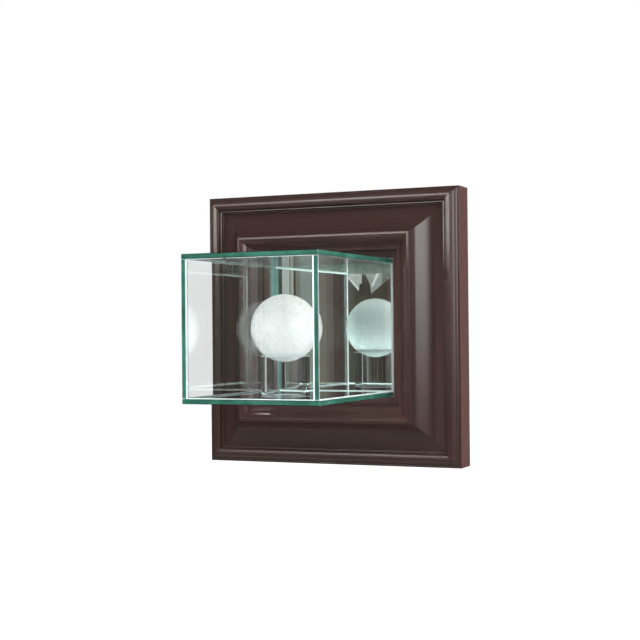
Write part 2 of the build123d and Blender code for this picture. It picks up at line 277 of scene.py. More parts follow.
def rail(name, quarters, wood):
    """The section carried along X between its two mitres: at inset w the rail runs from -(half - w) to half - w,
    less the mitre gap, and z is w - half; then turned into place. Each end is one closing face."""
    section = moulding_section(wood.arris)
    inset, height = section[:, 0] * MM, section[:, 1] * MM
    stations = np.linspace(-1, 1, RAIL_STATIONS)
    x = stations[:, None] * (HALF - inset - wood.mitre_gap * math.sqrt(2))
    grid = np.stack([x, np.broadcast_to(-height, x.shape), np.broadcast_to(inset - HALF, x.shape)], axis=-1)
    faces = grid_faces(*x.shape, (False, True))
    end = np.arange(len(section))
    faces += [end.tolist(), (end + (len(stations) - 1) * len(section))[::-1].tolist()]
    return mesh_object(name, quarter_turned(grid, quarters).reshape(-1, 3), faces, smooth=True, crease=CREASE)


def geodesic(steps):
    """A closed unit sphere from an icosahedron: on each of its 20 faces the points (i A + j B + k C) / steps with
    i + j + k = steps, all pushed out to length 1, and points that faces share made one."""
    golden = (1 + math.sqrt(5)) / 2
    signs = [(a, b) for a in (-1, 1) for b in (-golden, golden)]
    tips = np.array([(0, a, b) for a, b in signs] + [(a, b, 0) for a, b in signs] + [(b, 0, a) for a, b in signs])
    tips /= np.linalg.norm(tips[0])
    near = np.abs(np.linalg.norm(tips[:, None] - tips[None], axis=2) - TIPS_APART) < 0.01
    trios = [(a, b, c) for a in range(12) for b in range(a) for c in range(b)
             if near[a, b] and near[b, c] and near[a, c]]
    trios = np.array([t if np.linalg.det(tips[list(t)]) > 0 else (t[0], t[2], t[1]) for t in trios])
    j, i = np.meshgrid(np.arange(steps + 1), np.arange(steps + 1))
    inside = i + j <= steps
    number = np.full(i.shape, -1)
    number[inside] = np.arange(inside.sum())
    weights = np.stack([i[inside], j[inside], steps - i[inside] - j[inside]], axis=1) / steps
    points = np.einsum("pw,fwc->fpc", weights, tips[trios]).reshape(-1, 3)
    points /= np.linalg.norm(points, axis=1)[:, None]
    a, b, c, d = number[:-1, :-1], number[1:, :-1], number[:-1, 1:], number[1:, 1:]
    up = np.stack([a[b >= 0], b[b >= 0], c[b >= 0]], axis=1)
    up = up[(up >= 0).all(axis=1)]
    down = np.stack([b, d, c], axis=-1).reshape(-1, 3)
    down = down[(down >= 0).all(axis=1)]
    local = np.concatenate([up, down])
    faces = (local[None] + (np.arange(20) * inside.sum())[:, None, None]).reshape(-1, 3)
    _, first, back = np.unique(np.round(points, 5), axis=0, return_index=True, return_inverse=True)
    points = points[first]
    faces = back.ravel()[faces]
    outward = np.einsum("fc,fc->f", np.cross(points[faces[:, 1]] - points[faces[:, 0]],
                                             points[faces[:, 2]] - points[faces[:, 0]]), points[faces[:, 0]])
    faces[outward < 0] = faces[outward < 0][:, ::-1]
    return points, faces


# ---------------------------------------------------------------- shader building
def node(tree, kind, inputs=None, **settings):
    """A new shader node; inputs takes a socket's name or number to a value or to another node's output."""
    made = tree.nodes.new(kind)
    for name, value in settings.items():
        setattr(made, name, value)
    for key, value in (inputs or {}).items():
        if isinstance(value, bpy.types.NodeSocket):
            tree.links.new(value, made.inputs[key])
        else:
            made.inputs[key].default_value = value
    return made


def link(value, socket):
    socket.id_data.links.new(value, socket)


def joined(kind, inputs, **settings):
    """A new node in the tree that the first linked input comes from."""
    linked = next(value for value in inputs.values() if isinstance(value, bpy.types.NodeSocket))
    return node(linked.id_data, kind, inputs, **settings)


def maths(operation, *values, clamp=False):
    return joined("ShaderNodeMath", dict(enumerate(values)), operation=operation, use_clamp=clamp).outputs[0]


def times(value, factor):
    return maths("MULTIPLY", value, factor)


def times_plus(value, factor, more):
    return maths("MULTIPLY_ADD", value, factor, more)


def tinted(amount, low, high):
    """Colour low turned towards high by amount."""
    return joined("ShaderNodeMix", {0: amount, 6: low, 7: high}, data_type="RGBA").outputs[2]


def weighed(amount, low, high):
    """Number low turned towards high by amount."""
    return joined("ShaderNodeMix", {0: amount, 2: low, 3: high}, data_type="FLOAT").outputs[0]


def between(value, low, high, to_low=0.0, to_high=1.0):
    """Value taken smoothly from the span low to high onto to_low to to_high."""
    return joined("ShaderNodeMapRange", {0: value, 1: low, 2: high, 3: to_low, 4: to_high},
                  interpolation_type="SMOOTHSTEP").outputs[0]


def noise(place, scale, detail=2.0, rough=0.5):
    return joined("ShaderNodeTexNoise", {"Vector": place, "Scale": scale, "Detail": detail,
                                         "Roughness": rough}).outputs[0]


def mapped(place, scale=(1, 1, 1), turn=(0, 0, 0), shift=(0, 0, 0)):
    return joined("ShaderNodeMapping", {"Vector": place, "Scale": scale, "Rotation": turn,
                                        "Location": shift}).outputs[0]


def split(place):
    """The x, y and z of a place."""
    return joined("ShaderNodeSeparateXYZ", {0: place}).outputs


def place_of(tree, scale=1):
    """Object coordinates, in metres or times scale."""
    return mapped(node(tree, "ShaderNodeTexCoord").outputs["Object"], (scale, scale, scale))


def rgba(value, *factors):
    """The colour with full alpha, times one factor, or times one for each channel."""
    factors = factors if len(factors) == 3 else 3 * (factors or (1.0,))
    return (*(factor * c for factor, c in zip(factors, value)), 1.0)


def new_group(name, takes, gives):
    """An empty node group with its inputs {name: default} and outputs {name: kind}. Returns its tree, the sockets that
    its inputs come from and those that its outputs go to."""
    tree = bpy.data.node_groups.new(name, "ShaderNodeTree")
    for label, default in takes.items():
        kind = {4: "Color", 3: "Vector"}.get(np.size(default), "Float")
        tree.interface.new_socket(label, in_out="INPUT", socket_type="NodeSocket" + kind).default_value = default
    for label, kind in gives.items():
        tree.interface.new_socket(label, in_out="OUTPUT", socket_type="NodeSocket" + kind)
    return tree, tree.nodes.new("NodeGroupInput").outputs, tree.nodes.new("NodeGroupOutput").inputs


def group(make, inputs):
    """A use of the group that make builds, which is built once."""
    held = bpy.data.node_groups.get(make.__name__) or make()
    return joined("ShaderNodeGroup", inputs, node_tree=held).outputs


def wood_grain():
    """Ribbon figure, fine streaks and short pores, all drawn out along X of Place, which is in millimetres."""
    tree, takes, gives = new_group("wood_grain", {
        "Place": (0.0, 0.0, 0.0), "Dark": (0.05, 0.03, 0.02, 1.0), "Light": (0.1, 0.06, 0.04, 1.0), "Pore depth": 0.5,
    }, {"Colour": "Color", "Height": "Float", "Streaks": "Float"})
    figure = noise(mapped(takes["Place"], (0.008, 0.16, 0.16)), 1.0, 2.0, 0.5)
    streaks = noise(mapped(takes["Place"], (0.012, 1.3, 1.3)), 1.0, 4.0, 0.62)
    pores = between(noise(mapped(takes["Place"], (0.22, 5.0, 5.0)), 1.0, 1.0), 0.62, 0.72)
    mixed = times_plus(between(figure, 0.3, 0.7), 0.55, times(between(streaks, 0.32, 0.68), 0.45))
    tone = tinted(mixed, takes["Dark"], takes["Light"])
    pored = tinted(times(pores, takes["Pore depth"]), tone, takes["Dark"])
    link(pored, gives["Colour"])
    link(maths("SUBTRACT", times(streaks, 0.3), pores), gives["Height"])
    link(streaks, gives["Streaks"])
    return tree


def moulding_place():
    """Inset from the frame's outer edge and height off the wall, in millimetres, and 1 at a mitre. Inset is the half
    width less the larger of |x| and |z|."""
    tree, takes, gives = new_group("moulding_place", {"Place": (0.0, 0.0, 0.0), "Half": 92.0},
                                   {"Inset": "Float", "Height": "Float", "Mitre": "Float"})
    parts = split(takes["Place"])
    x, z = maths("ABSOLUTE", parts[0]), maths("ABSOLUTE", parts[2])
    link(maths("SUBTRACT", takes["Half"], maths("MAXIMUM", x, z)), gives["Inset"])
    link(times(parts[1], -1.0), gives["Height"])
    apart = maths("ABSOLUTE", maths("SUBTRACT", x, z))
    link(between(apart, 0.1, 0.6, 1.0, 0.0), gives["Mitre"])
    return tree


def handling():
    """Soft smudges and small specks, both 0 to 1, for roughness and dust."""
    tree, takes, gives = new_group("handling", {"Place": (0.0, 0.0, 0.0), "Size": 12.0, "Speck size": 0.6},
                                   {"Smudges": "Float", "Specks": "Float"})
    broad = noise(takes["Place"], maths("DIVIDE", 1.0, takes["Size"]), 4.0, 0.6)
    fine = noise(takes["Place"], maths("DIVIDE", 1.0, takes["Speck size"]), 1.0)
    link(between(broad, 0.35, 0.7), gives["Smudges"])
    link(between(fine, 0.66, 0.76), gives["Specks"])
    return tree


def metal_surface():
    """Colour with a little tarnish, a roughness value, and the height of fine lines drawn out along X of Place."""
    tree, takes, gives = new_group("metal_surface", {
        "Place": (0.0, 0.0, 0.0), "Metal": (0.7, 0.6, 0.4, 1.0), "Tarnish": (0.3, 0.2, 0.1, 1.0), "Amount": 0.4,
        "Low roughness": 0.18, "High roughness": 0.42,
    }, {"Colour": "Color", "Roughness": "Float", "Height": "Float"})
    blotches = between(noise(takes["Place"], 0.55, 4.0, 0.65), 0.42, 0.78)
    lines = noise(mapped(takes["Place"], (0.25, 9.0, 9.0)), 1.0, 2.0)
    link(tinted(times(blotches, takes["Amount"]), takes["Metal"], takes["Tarnish"]), gives["Colour"])
    mixed = times_plus(lines, 0.5, times(blotches, 0.5))
    spread = maths("SUBTRACT", takes["High roughness"], takes["Low roughness"])
    link(times_plus(mixed, spread, takes["Low roughness"]), gives["Roughness"])
    link(lines, gives["Height"])
    return tree


def blank_material(name):
    """A material with an empty tree; returns it, its tree and its output node."""
    made = bpy.data.materials.new(name)
    made.use_nodes = True
    tree = made.node_tree
    tree.nodes.clear()
    return made, tree, tree.nodes.new("ShaderNodeOutputMaterial")


def placed_material(name):
    """A blank material, and the place on it in millimetres."""
    made, tree, out = blank_material(name)
    return made, out, place_of(tree, 1000)


def surfaced(out, height=None, strength=0.1, distance=0.0001, **inputs):
    """A Principled shader on the output, with a bump where height is given. Inputs use underscores for spaces."""
    values = {key.replace("_", " "): value for key, value in inputs.items()}
    if height is not None:
        values["Normal"] = joined("ShaderNodeBump", {"Strength": strength, "Distance": distance,
                                                     "Height": height}).outputs[0]
    shader = node(out.id_data, "ShaderNodeBsdfPrincipled", values).outputs[0]
    put(out, shader)
    return shader


def mask_over(value, stops):
    """A ramp over 0 to MASK_REACH whose stops are (place, grey)."""
    ramp = joined("ShaderNodeValToRGB", {0: maths("DIVIDE", value, MASK_REACH)})
    held = ramp.color_ramp.elements
    for place, grey in stops[2:]:
        held.new(place / MASK_REACH)
    for element, (place, grey) in zip(held, sorted(stops)):
        element.position = place / MASK_REACH
        element.color = (grey, grey, grey, 1)
    return ramp.outputs[0]


def light_path(tree, output):
    return node(tree, "ShaderNodeLightPath").outputs[output]


def turned_to(amount, first, second):
    """The first shader turned towards the second by amount."""
    return joined("ShaderNodeMixShader", {0: amount, 1: first, 2: second}).outputs[0]


def put(out, shader):
    """Links the shader to the output."""
    link(shader, out.inputs[0])


def see_through(tree, tint=(1, 1, 1, 1)):
    return node(tree, "ShaderNodeBsdfTransparent", {0: tint}).outputs[0]


# ---------------------------------------------------------------- materials
def lacquered_wood(name, wood, upright):
    """Stained and lacquered moulding: grain along the rail, dark stain with painted shade in the quirks, worn crests
    with a painted highlight line, painted light on the outer sides and on the inner slope and ledge, a bare back
    with the stain running over its outer edge, and a hairline at each mitre."""
    made, out, place = placed_material(name)
    along = mapped(place, turn=(0, math.radians(90 if upright else 0), 0), shift=(0, 0, 37 if upright else 0))
    spot = group(moulding_place, {"Place": place, "Half": HALF / MM})
    grain = group(wood_grain, {"Place": along, "Dark": rgba(wood.dark), "Light": rgba(wood.light),
                               "Pore depth": 0.35})
    worn = group(handling, {"Place": place, "Size": 9.0, "Speck size": 0.5})
    crests, quirks = mask_over(spot["Inset"], CRESTS), mask_over(spot["Inset"], QUIRKS)
    # Crests: paler from wear, and a painted highlight line along each ridge.
    wear_and_highlight = times(crests, times_plus(worn["Smudges"], 0.25, 0.05))
    tone = tinted(wear_and_highlight, grain["Colour"], rgba(wood.light, 1.7))
    # Quirks: darker from pooled stain, and painted shade in the grooves.
    tone = tinted(times(quirks, 0.45), tone, rgba(wood.dark, 0.5))
    tone = tinted(times(spot["Mitre"], 0.5), tone, rgba(wood.dark, 0.5))
    bare_grain = group(wood_grain, {"Place": along, "Dark": rgba(wood.bare, 0.55), "Light": rgba(wood.bare),
                                    "Pore depth": 0.35})
    run = times(noise(place, 0.12, 3.0), 7.0)
    behind = times(between(spot["Height"], 0.1, 0.3, 1.0, 0.0),
                   between(maths("SUBTRACT", spot["Inset"], run), 0.0, 1.2))
    rebated = times(between(spot["Height"], 15.4, 15.9, 1.0, 0.0), between(spot["Inset"], 35.2, 35.9))
    bare = maths("MAXIMUM", behind, rebated)
    # Outer sides: painted light, paler as if lit from the side.
    painted_flank_light = between(spot["Inset"], 0.05, 0.35, 1.0, 0.0)
    tone = tinted(painted_flank_light, tone, rgba(wood.light, 1.45, 1.04, 0.98))
    rough = times_plus(worn["Smudges"], 0.06, wood.gloss - 0.03)
    dull = between(spot["Inset"], 35.0, 35.8)      # from the sight slope inwards the lacquer isn't rubbed out
    rough = times_plus(dull, 0.3, rough)
    # Inner slope and ledge: painted light, paler as if catching reflected light.
    slope = mask_over(spot["Inset"], SLOPE_PAINTED_LIGHT)
    tone = tinted(slope, tone, rgba(wood.light, 1.75, 1.4, 1.35))
    coated = times(maths("SUBTRACT", 1.0, bare), times_plus(dull, -0.2, 0.25))
    surfaced(out, grain["Height"], 0.16, 0.00005, Base_Color=tinted(bare, tone, bare_grain["Colour"]),
             Roughness=weighed(bare, rough, 0.8), Coat_Weight=coated, Coat_Roughness=0.05)
    return made


def clear_glass(name, tint, ior, haze=None):
    """Clear sheet that lets lamps through: the shader is see-through to shadow rays. Haze is the colour of a film
    that shows only at a very low angle."""
    made, out, place = placed_material(name)
    tree = made.node_tree
    worn = group(handling, {"Place": place, "Size": 22.0, "Speck size": 0.35})
    seen = surfaced(out, worn["Smudges"], 0.01, 0.00001,
                    Base_Color=tinted(worn["Smudges"], rgba(tint), rgba(tint, 0.985)),
                    Roughness=times(worn["Specks"], 0.01), IOR=ior, Transmission_Weight=1.0)
    if haze:
        low = node(tree, "ShaderNodeLayerWeight", {0: 0.5}).outputs["Facing"]
        film = node(tree, "ShaderNodeBsdfDiffuse", {0: rgba(haze)}).outputs[0]
        seen = turned_to(times(between(low, 0.86, 0.97), 0.3), seen, film)
    put(out, turned_to(light_path(tree, "Is Shadow Ray"), seen, see_through(tree, rgba(tint))))
    return made


def edge_green(name, tone, painted_glow=0.08):
    """The green that a long look through float glass gives at a polished edge, deeper and paler in places, with a
    painted glow for the light that it gathers.
    """
    made, out, place = placed_material(name)
    bands = noise(place, 0.07, 3.0, 0.6)
    fine = noise(place, 0.9, 2.0)
    mixed = times_plus(between(bands, 0.35, 0.7), 0.6, times(fine, 0.4))
    shade = tinted(mixed, rgba(tone, 0.7), rgba([min(1, 1.6 * c + 0.01) for c in tone]))
    surfaced(out, fine, 0.1, 0.00005, Base_Color=shade, Roughness=between(fine, 0.3, 0.7, 0.2, 0.4),
             Specular_IOR_Level=0.15, Emission_Color=shade, Emission_Strength=painted_glow)
    return made


def ground_joint(glass):
    """Ground arrises and bonded joints: a pale line with a painted glow for the light they catch, stronger where the
    mirror shows them.
    """
    made, out, place = placed_material("ground_joint")
    patches = between(noise(place, 0.09, 3.0, 0.6), 0.3, 0.7)
    grit = noise(place, 4.0, 2.0)
    tone = tinted(patches, rgba(glass.joint, 0.8), rgba(glass.joint))
    surfaced(out, grit, 0.3, 0.00005, Base_Color=tone, Roughness=between(grit, 0.3, 0.7, 0.35, 0.6),
             Emission_Color=tone, Emission_Strength=weighed(from_mirror(made.node_tree), 0.3, 1.1))
    return made


def clear_bead(glass):
    """Set adhesive in the inner corners: nearly clear, until the mirror shows it with the light behind it, where it
    has a painted glow.
    """
    made, out, place = placed_material("clear_bead")
    lumps = noise(place, 0.5, 2.0)
    parts = split(place)
    full = maths("MAXIMUM", between(parts[0], -5, 5), between(parts[2], -5, 5))
    # Painted glow where the mirror shows the bead, least at the low left.
    lit = times(from_mirror(made.node_tree), times_plus(full, 0.7, 0.3))   # least at the low left
    tone = tinted(between(lumps, 0.3, 0.7), rgba(glass.joint, 0.75), rgba(glass.joint))
    shader = surfaced(out, lumps, 0.2, 0.00005, Base_Color=tone, Roughness=0.3, Emission_Color=tone,
                      Emission_Strength=weighed(lit, 0.0, 0.55))
    amount = weighed(lit, 0.08, 1.0)
    put(out, turned_to(amount, see_through(made.node_tree), shader))
    return made


def frosted_rim(glass):
    """The sawn and lightly polished ends of the tube: a pale ring with a painted glow for the light that they scatter.
    """
    made, out, place = placed_material("frosted_rim")
    rings = noise(mapped(place, (0.6, 0.6, 6.0)), 1.0, 3.0)
    tone = tinted(between(rings, 0.3, 0.7), rgba(glass.joint, 0.6), rgba(glass.joint))
    surfaced(out, rings, 0.3, 0.00005, Base_Color=tone, Roughness=0.5, Emission_Color=tone,
             Emission_Strength=0.15)
    return made


def silvering(glass):
    """Silver seen through the mirror's glass, with faint bloom and a few pinholes near its edge."""
    made, out, place = placed_material("silvering")
    worn = group(handling, {"Place": place, "Size": 30.0, "Speck size": 0.5})
    spot = group(moulding_place, {"Place": place, "Half": MIRROR_HIGH.x / MM})
    aged = times(worn["Specks"], between(spot["Inset"], 0.5, 2.0, 0.8, 0.0))
    tone = tinted(worn["Smudges"], rgba(glass.silver), rgba(glass.silver, 0.975))
    surfaced(out, Base_Color=tinted(aged, tone, (0.08, 0.07, 0.06, 1)), Metallic=1.0,
             Roughness=times(worn["Smudges"], 0.006))
    return made


def metal(name, tone, low, high, tarnish=0.35, turn=0.0):
    made, out, place = placed_material(name)
    place = mapped(place, turn=(0, math.radians(turn), 0))
    skin = group(metal_surface, {"Place": place, "Metal": rgba(tone), "Tarnish": rgba(tone, 0.45),
                                 "Amount": tarnish, "Low roughness": low, "High roughness": high})
    surfaced(out, skin["Height"], 0.15, 0.00004, Base_Color=skin["Colour"], Roughness=skin["Roughness"],
             Metallic=1.0)
    return made


def hardboard(wood):
    """Pressed brown fibre: short pale and dark fibres in every direction, scuffs, and a little dust."""
    made, out, place = placed_material("hardboard")
    worn = group(handling, {"Place": place, "Size": 18.0, "Speck size": 0.8})
    fibres = noise(mapped(place, (1.1, 1.1, 3.4), turn=(0, 0.6, 0)), 1.0, 4.0, 0.7)
    crossed = noise(mapped(place, (3.4, 1.1, 1.1), turn=(0, -0.4, 0)), 1.0, 4.0, 0.7)
    mixed = between(times_plus(fibres, 0.5, times(crossed, 0.5)), 0.36, 0.64)
    tone = tinted(mixed, rgba(wood.board, 0.6), rgba(wood.board, 1.35))
    tone = tinted(times(worn["Smudges"], 0.18), tone, (0.30, 0.22, 0.15, 1))
    surfaced(out, mixed, 0.4, 0.0001, Base_Color=tone, Roughness=between(worn["Smudges"], 0, 1, 0.55, 0.8))
    return made


def rubber():
    made, out, place = placed_material("bumper_rubber")
    worn = group(handling, {"Place": place, "Size": 3.0, "Speck size": 0.25})
    dusty = tinted(times_plus(worn["Specks"], 0.5, times(worn["Smudges"], 0.2)),
                   (0.018, 0.018, 0.018, 1), (0.16, 0.15, 0.14, 1))
    surfaced(out, noise(place, 6.0, 3.0), 0.4, 0.0001, Base_Color=dusty, Roughness=0.75)
    return made


def silicone():
    made, out, place = placed_material("silicone")
    lumps = noise(place, 0.8, 3.0)
    tone = tinted(between(lumps, 0.3, 0.7), (0.30, 0.31, 0.30, 1), (0.52, 0.54, 0.53, 1))
    surfaced(out, lumps, 0.5, 0.0001, Base_Color=tone, Roughness=0.35)
    return made


def ball_cover(ball):
    """White cover under clear coat, a touch greyer in the dimples as painted shade, with faint scuffs."""
    made, out, place = placed_material("ball_cover")
    worn = group(handling, {"Place": place, "Size": 7.0, "Speck size": 0.3})
    from_centre = mapped(place, shift=-1000 * middle_of(BALL_LOW, BALL_HIGH))
    out_from = joined("ShaderNodeVectorMath", {0: from_centre}, operation="LENGTH").outputs["Value"]
    top = (BALL_HIGH.x - BALL_LOW.x) / 2 / MM
    sunk = between(out_from, top - 1000 * ball.depth, top - 0.02, 1.0, 0.0)
    # Painted shade greys the dimples; the specks are scuffs.
    dull = times_plus(sunk, 0.10, times(worn["Specks"], 0.05))
    tone = tinted(dull, rgba(ball.cover), (0.62, 0.63, 0.62, 1))
    surfaced(out, noise(place, 2.5, 2.0), 0.03, 0.00005, Base_Color=tone,
             Roughness=between(worn["Smudges"], 0, 1, 0.26, 0.38), Coat_Weight=0.3, Coat_Roughness=0.08)
    return made


def dress(names, material):
    """Gives CAD nodes their material."""
    for name in names:
        slots = frame["nodes"][name].data.materials
        slots.clear()
        slots.append(material)


def place_piece(made, material, body, slot, *stands_for):
    """Gives a new piece its material and body, and hides the nodes that it stands for. Its slot is not used."""
    made.data.materials.append(material)
    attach(made, body)
    if stands_for:
        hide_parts(*stands_for)
    return made


# ---------------------------------------------------------------- operators: one for each piece or group
class BuildOperator:
    bl_options = {"REGISTER", "UNDO"}


class CASE_OT_rails(BuildOperator, bpy.types.Operator):
    """Build the four mitred rails with rounded arrises and lacquered grain"""
    bl_idname = "display_case.rails"
    bl_label = "Moulded rails"

    def execute(self, context):
        wood = context.scene.case_wood
        across = lacquered_wood("mahogany_across", wood, False)
        upright = lacquered_wood("mahogany_upright", wood, True)
        for quarters, side in enumerate(("bottom", "left", "top", "right")):
            made = rail(f"moulding_{side}", quarters, wood)
            place_piece(made, upright if quarters % 2 else across, "frame", "wood", f"{side}_rail")
        return {"FINISHED"}


class CASE_OT_panes(BuildOperator, bpy.types.Operator):
    """Give the five panes of the box clear glass"""
    bl_idname = "display_case.panes"
    bl_label = "Glass panes"

    def execute(self, context):
        tint = context.scene.case_glass.tint
        dress(("front_pane", "bottom_pane", "left_pane", "right_pane"), clear_glass("clear_glass", tint, 1.5))
        dress(("top_pane",), clear_glass("top_glass", tint, 1.5, (0.34, 0.42, 0.38)))
        return {"FINISHED"}


def mirrored_bars(name, spans):
    """One mesh of bars, each given in millimetres by its spans in x, y and z."""
    spans = np.sort(np.array(spans, float), axis=2) * MM
    return mesh_object(name, *bars(spans[..., 0], spans[..., 1]))


def both(sign, low, high):
    """The span low to high on the side of the middle that sign gives."""
    return (sign * low, sign * high)


class CASE_OT_pane_edges(BuildOperator, bpy.types.Operator):
    """Lay the green of the polished edges, with its painted glow, just under the glass"""
    bl_idname = "display_case.pane_edges"
    bl_label = "Green edges"

    def execute(self, context):
        tone = context.scene.case_glass.edge
        edges, glow = [], []
        for side in (-1, 1):
            level = both(side, INNER + EDGE_IN, OUTER - EDGE_IN)
            for face, into in ((FRONT, 1), (BACK, -1)):
                depth = [face + into * skin for skin in SKIN]
                edges.append(((-OUTER + EDGE_IN, OUTER - EDGE_IN), depth, level))
                edges.append((level, depth, (-INNER + EDGE_IN, INNER - EDGE_IN)))
            for end in (-1, 1):
                edges.append((both(end, OUTER - SKIN[1], OUTER - SKIN[0]), (FRONT + EDGE_IN, BACK - EDGE_IN), level))
            joint = both(side, *(INNER + edge for edge in JOINT))       # where the upright panes meet the level one
            edges.append(((-INNER + CLEAR, INNER - CLEAR), (FRONT + CLEAR, FRONT + GLASS_MM - CLEAR), joint))
            for end in (-1, 1):
                edges.append((both(end, INNER + CLEAR, OUTER - CLEAR), (FRONT + CLEAR, BACK - CLEAR), joint))
            # the deep green at the back of each pane, against the mirror, with a stronger painted glow
            long, rear = (-INNER + 0.1, INNER - 0.1), [BACK - edge for edge in GLOW]
            skin = both(side, INNER + 0.10, INNER + 0.16)
            if side < 0:
                glow.append((skin, rear, long))
            glow.append((long, rear, skin))
        place_piece(mirrored_bars("pane_edges", edges), edge_green("edge_green", tone), "frame", "glass")
        place_piece(mirrored_bars("pane_backs", glow), edge_green("back_green", context.scene.case_glass.deep, 0.3),
                    "frame", "glass")
        return {"FINISHED"}


class CASE_OT_pane_joints(BuildOperator, bpy.types.Operator):
    """Lay the pale lines of the bonded joints, the fainter arrises and the clear beads in the inner corners"""
    bl_idname = "display_case.pane_joints"
    bl_label = "Joint lines"

    def execute(self, context):
        glass = context.scene.case_glass
        short, depth = (-INNER + 0.2, INNER - 0.2), (FRONT + LINE[1], BACK - CLEAR)
        low, top = (-INNER + 0.05, -INNER + 0.5), (INNER - 0.30, INNER - 0.05)
        line, thin, rear = [FRONT + edge for edge in LINE], (FRONT + LINE[0], FRONT + 0.25), (BACK - 0.9, BACK - 0.2)
        pale = [((-INNER, INNER), line, low), (short, rear, low),
                (short, (FRONT + GLASS_MM + 0.05, FRONT + GLASS_MM + 0.5), low),
                ((INNER - 0.60, INNER + 0.25), thin, short), ((-INNER - 0.45, -INNER + 0.10), thin, short),
                ((INNER + 0.10, INNER + 0.16), (BACK - 5.0, BACK - 0.15), short),
                ((INNER - 0.9, INNER - 0.1), rear, short)]
        faint = [((-INNER, INNER), (FRONT + 0.19, FRONT + 0.30), top)]
        beads = []
        for side in (-1, 1):
            outer_face = both(side, OUTER - LINE[1], OUTER - LINE[0])
            for near in (-0.10, 0.04):       # one sheet in each of the two panes that meet here
                sheet = both(side, INNER + near, INNER + near + 0.06)
                pale.append((sheet, (FRONT + CLEAR, FRONT + GLASS_MM - 0.1), short))
            pale.append((both(side, INNER + 0.45, OUTER - 0.40), (FRONT + 0.26, FRONT + 0.32), short))
            (pale if side > 0 else faint).append((outer_face, depth, (-INNER + 0.05, -INNER + 0.75)))
            faint += [(outer_face, line, short), (outer_face, depth, top)]
            for rise in (-1, 1):
                across, upright = [both(way, *(INNER - edge for edge in BEAD)) for way in (side, rise)]
                beads.append((across, (FRONT + GLASS_MM + 0.9, BACK - 0.95), upright))
        place_piece(mirrored_bars("pane_joints", pale), ground_joint(glass), "frame", "glass")
        # The fainter arrises: pale grey green with a weak painted glow.
        place_piece(mirrored_bars("pane_arrises", faint),
                    edge_green("faint_arris", [0.35 * c for c in glass.joint], 0.05), "frame", "glass")
        place_piece(mirrored_bars("corner_beads", beads), clear_bead(glass), "frame", "glass")
        return {"FINISHED"}


class CASE_OT_bond(BuildOperator, bpy.types.Operator):
    """Give the bead round the box its silicone"""
    bl_idname = "display_case.bond"
    bl_label = "Silicone bead"

    def execute(self, context):
        dress(("sight_bond",), silicone())
        return {"FINISHED"}


class CASE_OT_mirror(BuildOperator, bpy.types.Operator):
    """Give the mirror its glass, and lay the silvering just under its face"""
    bl_idname = "display_case.mirror"
    bl_label = "Mirror"

    def execute(self, context):
        glass = context.scene.case_glass
        dress(("mirror_pane",), clear_glass("mirror_glass", glass.tint, 1.5))
        margin = 0.6 * MM
        face = MIRROR_LOW.y
        low = (MIRROR_LOW.x + margin, face + 0.25 * MM, MIRROR_LOW.z + margin)
        high = (MIRROR_HIGH.x - margin, face + 0.30 * MM, MIRROR_HIGH.z - margin)
        place_piece(mesh_object("mirror_silver", *bars([low], [high])), silvering(glass), "door", "mirror")
        return {"FINISHED"}


class CASE_OT_board(BuildOperator, bpy.types.Operator):
    """Give the door's board its pressed fibre"""
    bl_idname = "display_case.board"
    bl_label = "Backing board"

    def execute(self, context):
        dress(("backing_board",), hardboard(context.scene.case_wood))
        return {"FINISHED"}


class CASE_OT_brass(BuildOperator, bpy.types.Operator):
    """Give hinges, their screws and the knob lacquered brass"""
    bl_idname = "display_case.brass"
    bl_label = "Brass hinges and knob"

    def execute(self, context):
        tone = context.scene.case_metal.brass
        dress(("hinge_frame_leaves", "hinge_door_leaves"), metal("hinge_brass", tone, 0.22, 0.42, turn=90))
        dress(("hinge_pins", "frame_leaf_screws", "door_leaf_screws"), metal("screw_brass", tone, 0.18, 0.36, 0.5))
        dress(("door_knob",), metal("knob_brass", tone, 0.10, 0.26, 0.25))
        return {"FINISHED"}


class CASE_OT_steel(BuildOperator, bpy.types.Operator):
    """Give the hanger, its nails and the corner nails zinc-plated steel"""
    bl_idname = "display_case.steel"
    bl_label = "Steel hanger and nails"

    def execute(self, context):
        tone = context.scene.case_metal.zinc
        dress(("hanger_strip",), metal("hanger_zinc", tone, 0.24, 0.46, 0.35))
        dress(("hanger_nails", "corner_nails"), metal("nail_zinc", tone, 0.3, 0.5, 0.5))
        return {"FINISHED"}


class CASE_OT_catches(BuildOperator, bpy.types.Operator):
    """Give the catch's magnets and discs nickel plate"""
    bl_idname = "display_case.catches"
    bl_label = "Magnetic catch"

    def execute(self, context):
        dress(("catch_magnets", "catch_discs"), metal("catch_nickel", context.scene.case_metal.nickel, 0.12, 0.3, 0.2))
        return {"FINISHED"}


class CASE_OT_bumpers(BuildOperator, bpy.types.Operator):
    """Give the wall bumpers soft black rubber"""
    bl_idname = "display_case.bumpers"
    bl_label = "Wall bumpers"

    def execute(self, context):
        dress(("wall_bumpers",), rubber())
        return {"FINISHED"}


